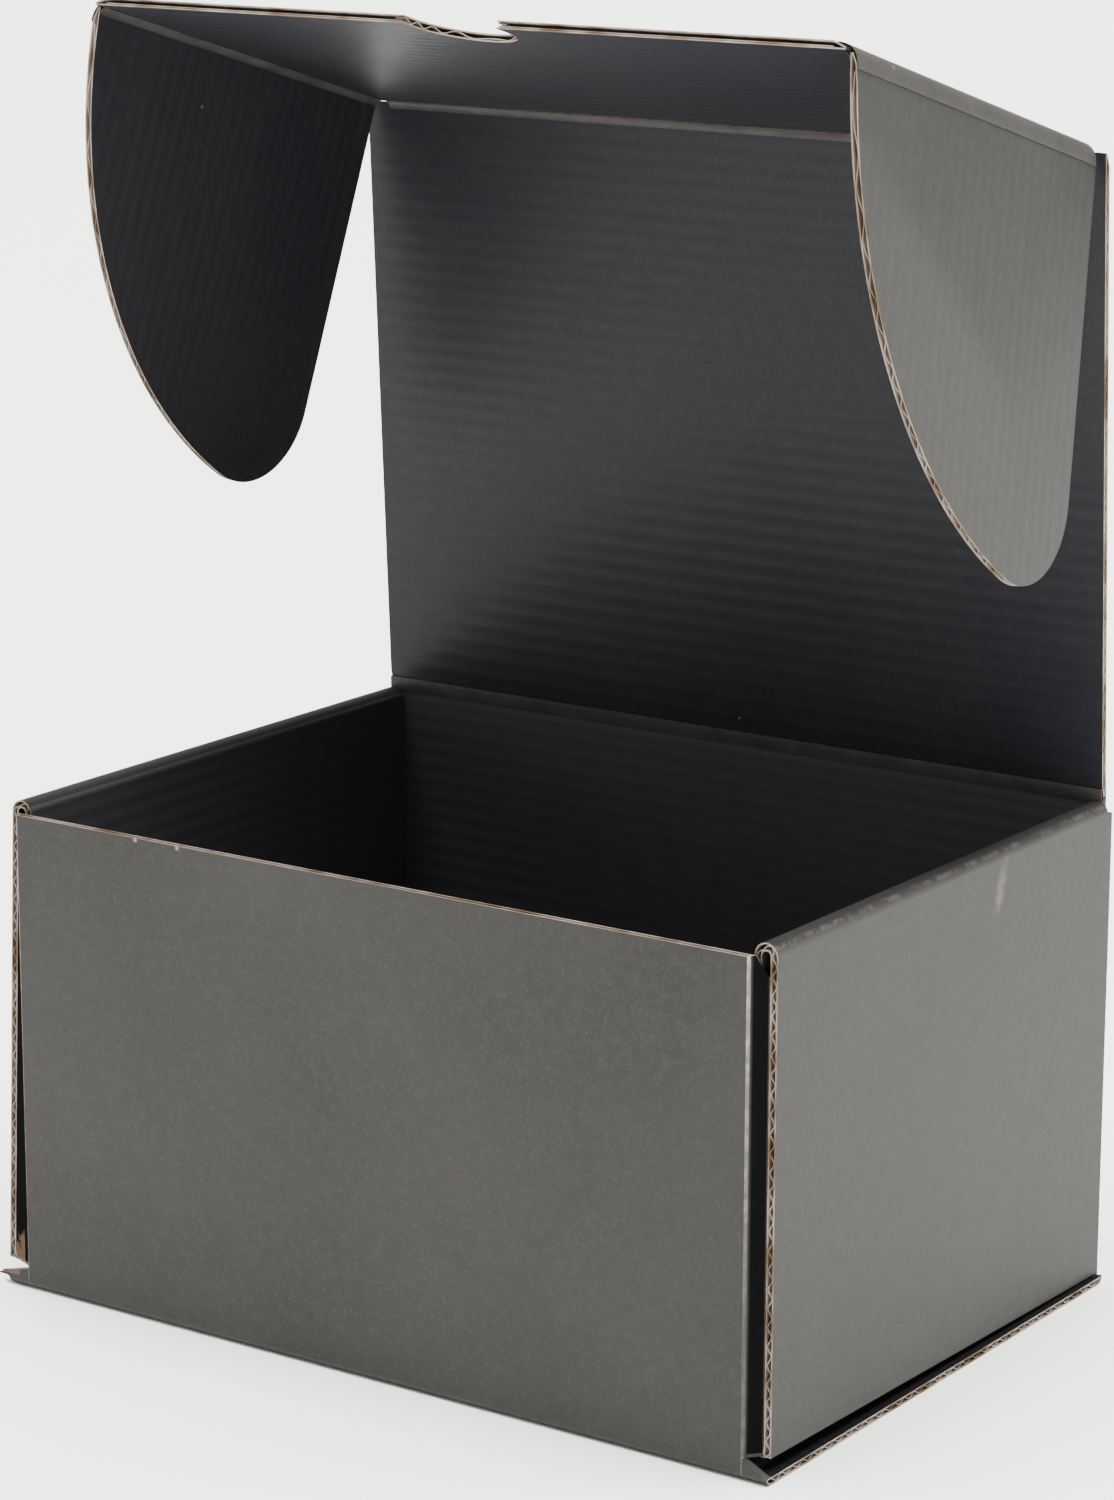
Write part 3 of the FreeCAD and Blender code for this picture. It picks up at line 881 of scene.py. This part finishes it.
def crease_strip(name, corner, first, last, spread, swell, run, ends, bodies):
    """Bent strip across a crease: from one panel's face to the other's, round their common corner.
    first and last point away from the crease, each with its face's outward normal."""
    lift, paper, hold, steps = 0.05 * MM, 0.16 * MM, 2.4 * MM, 14
    (way_a, normal_a), (way_b, normal_b) = first, last
    start, end = corner + way_a * spread, corner + way_b * spread
    peak = corner + (normal_a + normal_b) * swell
    points = []
    for edge in ends:
        for place in range(steps + 1):
            part = place / steps
            spot = start * (1 - part) ** 2 + peak * 2 * part * (1 - part) + end * part ** 2
            normal = normal_a.lerp(normal_b, part).normalized()
            points.append(spot + normal * lift + run * edge)
    piece = surface(name, steps + 1, points)
    thicken(piece, paper)
    smooth(piece, 60)
    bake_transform(piece)
    return piece


class MAILERBOX_OT_add_creases(bpy.types.Operator):
    """Add the pressed creases that join the lid, the tuck flap and the ears"""

    bl_idname = "mailerbox.add_creases"
    bl_label = "Add creases"

    def execute(self, context):
        settings = context.scene.mailer_box
        board = settings.board
        inner = shared_material("pressed crease", crease_print, settings, Z_AXIS)
        outer = shared_material("worn fold", fold_print, settings, Z_AXIS)
        lid_side = LID_HIGH[0]
        flap_side = HINGE["right_ear_hinge"]["pos_m"][0] - 2.5 * MM
        creases = [
            ("lid_crease", LID_AXIS, (-Z_AXIS, -Y_AXIS), (LID_ALONG, LID_INSIDE), board / 2,
             X_AXIS, (-lid_side, lid_side), ("tray", "lid")),
            ("flap_crease", FLAP_AXIS, (-LID_ALONG, LID_INSIDE), (FLAP_ALONG, FLAP_INSIDE), 0,
             X_AXIS, (-flap_side, flap_side), ("lid", "flap")),
        ]
        for side, word in ((1, "right"), (-1, "left")):
            origin, outward, along, inside = ear_frame(side)
            creases.append((
                word + "_ear_crease", origin, (X_AXIS * -side, FLAP_INSIDE), (outward, inside), 0,
                along, EAR_CREASE, ("flap", "ear_" + word)))
        swell, fold_reach = 0.12 * MM, 2.7 * MM
        for name, axis, first, last, depth, run, ends, bodies in creases:
            bisector = (first[1] + last[1]) / (1 + first[1].dot(last[1]))
            inside_corner = axis + bisector * depth
            outside_corner = axis - bisector * (board - depth)
            strip = crease_strip(
                name + "_bead", inside_corner, first, last, settings.bead, swell, run, ends, bodies)
            strip.data.materials.append(inner)
            turned = [(way, -normal) for way, normal in (first, last)]
            reach = max(0, -(outside_corner - axis).dot(first[0])) + fold_reach
            strip = crease_strip(
                name + "_fold", outside_corner, *turned, reach, 0, run, ends, bodies)
            strip.data.materials.append(outer)
        return {"FINISHED"}


def pale_world(settings):
    """Pale surroundings, bright only overhead, as far as the faces are lit by them. What the camera
    sees of them past the floor is as pale as the floor."""
    world = bpy.data.worlds.new("pale studio")
    world.use_nodes = True
    tree = world.node_tree
    sky = tree.nodes.new("ShaderNodeTexCoord")
    parts = tree.nodes.new("ShaderNodeSeparateXYZ")
    overhead = tree.nodes.new("ShaderNodeMapRange")
    overhead.interpolation_type = "SMOOTHSTEP"
    for socket, value in (("From Min", 0.86), ("From Max", 0.97), ("To Min", 0.8), ("To Max", 28)):
        overhead.inputs[socket].default_value = value
    sight = tree.nodes.new("ShaderNodeLightPath")
    pale = tree.nodes.new("ShaderNodeMath")
    pale.operation = "MULTIPLY"
    pale.inputs[1].default_value = 4.5
    brighter = tree.nodes.new("ShaderNodeMath")
    brighter.operation = "MAXIMUM"
    backdrop = tree.nodes["Background"]
    backdrop.inputs["Color"].default_value = (*settings.ground, 1)
    tree.links.new(sky.outputs["Generated"], parts.inputs[0])
    tree.links.new(parts.outputs["Z"], overhead.inputs["Value"])
    tree.links.new(sight.outputs["Is Camera Ray"], pale.inputs[0])
    tree.links.new(overhead.outputs["Result"], brighter.inputs[0])
    tree.links.new(pale.outputs[0], brighter.inputs[1])
    tree.links.new(brighter.outputs[0], backdrop.inputs["Strength"])
    return world


class MAILERBOX_OT_add_stage(bpy.types.Operator):
    """Add the pale ground, the soft lights and the camera"""

    bl_idname = "mailerbox.add_stage"
    bl_label = "Add stage"

    def execute(self, context):
        settings = context.scene.mailer_box
        bpy.ops.object.select_all(action="DESELECT")
        bpy.ops.mesh.primitive_grid_add(x_subdivisions=8, y_subdivisions=8, size=settings.floor_size)
        ground = context.object
        ground.name = "ground"
        ground.data.materials.append(shared_material("pale ground", plain_ground, settings))
        for name, place, size, power in LIGHTS:
            self.add_light(context, name, place, size, power)
        context.scene.world = pale_world(settings)
        self.add_camera(context)
        return {"FINISHED"}

    def add_light(self, context, name, place, size, power):
        """Round soft light, aimed at the middle of the box."""
        bpy.ops.object.light_add(type="AREA", location=place)
        light = context.object
        light.name = name
        light.data.shape = "DISK"
        light.data.size = size
        light.data.energy = power
        aim = AIM - Vector(place)
        light.rotation_euler = aim.to_track_quat("-Z", "Y").to_euler()

    def add_camera(self, context):
        """Camera at the photograph's place and angle."""
        yaw, pitch, roll = (math.radians(angle) for angle in CAMERA_TURN)
        bpy.ops.object.camera_add(location=CAMERA_PLACE)
        camera = context.object
        camera.name = "photo camera"
        camera.rotation_mode = "XYZ"
        aim = Vector((-math.sin(yaw) * math.cos(pitch), math.cos(yaw) * math.cos(pitch), math.sin(pitch)))
        turn = aim.to_track_quat("-Z", "Y") @ Matrix.Rotation(roll, 3, "Z").to_quaternion()
        camera.rotation_euler = turn.to_euler()
        camera.data.sensor_fit = "VERTICAL"
        camera.data.sensor_height = 36
        camera.data.lens = CAMERA_LENS
        context.scene.camera = camera


class MAILERBOX_PT_panel(bpy.types.Panel):
    """Sidebar panel with the box's sizes, colours and operators"""

    bl_label = "Mailer box"
    bl_idname = "MAILERBOX_PT_panel"
    bl_space_type = "VIEW_3D"
    bl_region_type = "UI"
    bl_category = "Mailer box"

    def draw(self, context):
        for name in MailerBoxSettings.__annotations__:
            self.layout.prop(context.scene.mailer_box, name)
        for operator in OPERATORS:
            self.layout.operator(operator.bl_idname)


OPERATORS = (
    MAILERBOX_OT_add_tray,
    MAILERBOX_OT_add_lid,
    MAILERBOX_OT_add_tuck_flap,
    MAILERBOX_OT_add_ears,
    MAILERBOX_OT_add_flutes,
    MAILERBOX_OT_add_creases,
    MAILERBOX_OT_add_stage,
)
CLASSES = (MailerBoxSettings, *OPERATORS, MAILERBOX_PT_panel)


def register():
    for item in CLASSES:
        bpy.utils.register_class(item)
    bpy.types.Scene.mailer_box = bpy.props.PointerProperty(type=MailerBoxSettings)


def unregister():
    del bpy.types.Scene.mailer_box
    for item in reversed(CLASSES):
        bpy.utils.unregister_class(item)


def main():
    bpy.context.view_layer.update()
    register()
    bpy.ops.mailerbox.add_tray()
    bpy.ops.mailerbox.add_lid()
    bpy.ops.mailerbox.add_tuck_flap()
    bpy.ops.mailerbox.add_ears()
    bpy.ops.mailerbox.add_flutes()
    bpy.ops.mailerbox.add_creases()
    bpy.ops.mailerbox.add_stage()


if __name__ == "__main__":
    main()
